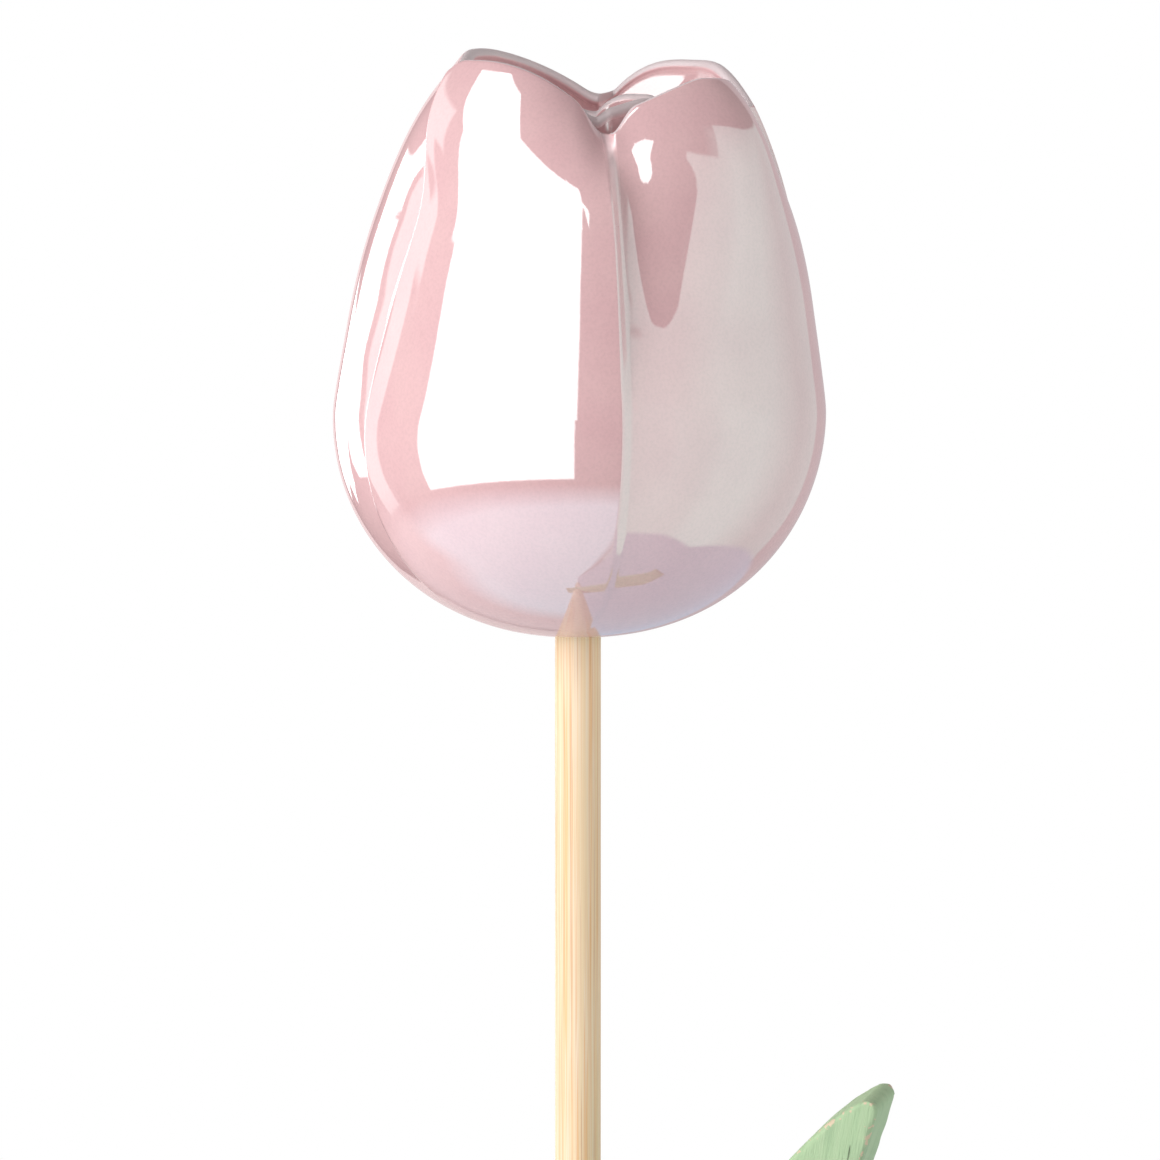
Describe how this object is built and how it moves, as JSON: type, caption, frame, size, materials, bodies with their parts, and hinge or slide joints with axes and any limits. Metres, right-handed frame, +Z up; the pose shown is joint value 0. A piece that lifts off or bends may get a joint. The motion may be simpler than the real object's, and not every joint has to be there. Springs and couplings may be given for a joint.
{
  "type": "tulip decoration on a stick",
  "caption": "Glossy pearl-pink glazed ceramic tulip head glued on a round bamboo stick, with a green painted wooden leaf threaded on the stick.",
  "frame": {"origin": "centre of the stick's lower cut end", "axes": "+Z up the stick to the flower, -Y toward the viewer of the picture, +X to the side where the leaf spreads"},
  "size_m": [0.073, 0.0637, 0.3718],
  "materials": {
    "bamboo": "bare sanded bamboo with fine lengthwise fibres",
    "pearl_glaze": "pale pink glaze with a bright pearl lustre, glossy and slightly uneven",
    "hot_glue": "milky set hot-melt glue",
    "green_paint": "thin matte green paint brushed on wood, worn at the arrises",
    "clear_rubber": "clear soft silicone"
  },
  "bodies": {
    "stem": {"bamboo_stick": "bamboo", "tulip_head": "pearl_glaze", "glue_plug": "hot_glue"},
    "grip_ring": {"grip_ring": "clear_rubber"},
    "leaf": {"leaf": "green_paint"}
  },
  "joints": [
    {"name": "ring_slide", "type": "slide", "parent": "stem", "child": "grip_ring", "axis": [0, 0, 1], "range_m": [-0.1, 0.05]},
    {"name": "leaf_turn", "type": "hinge", "parent": "grip_ring", "child": "leaf", "pos_m": [0, 0, 0.16675], "axis": [0, 0, 1], "continuous": true}
  ]
}
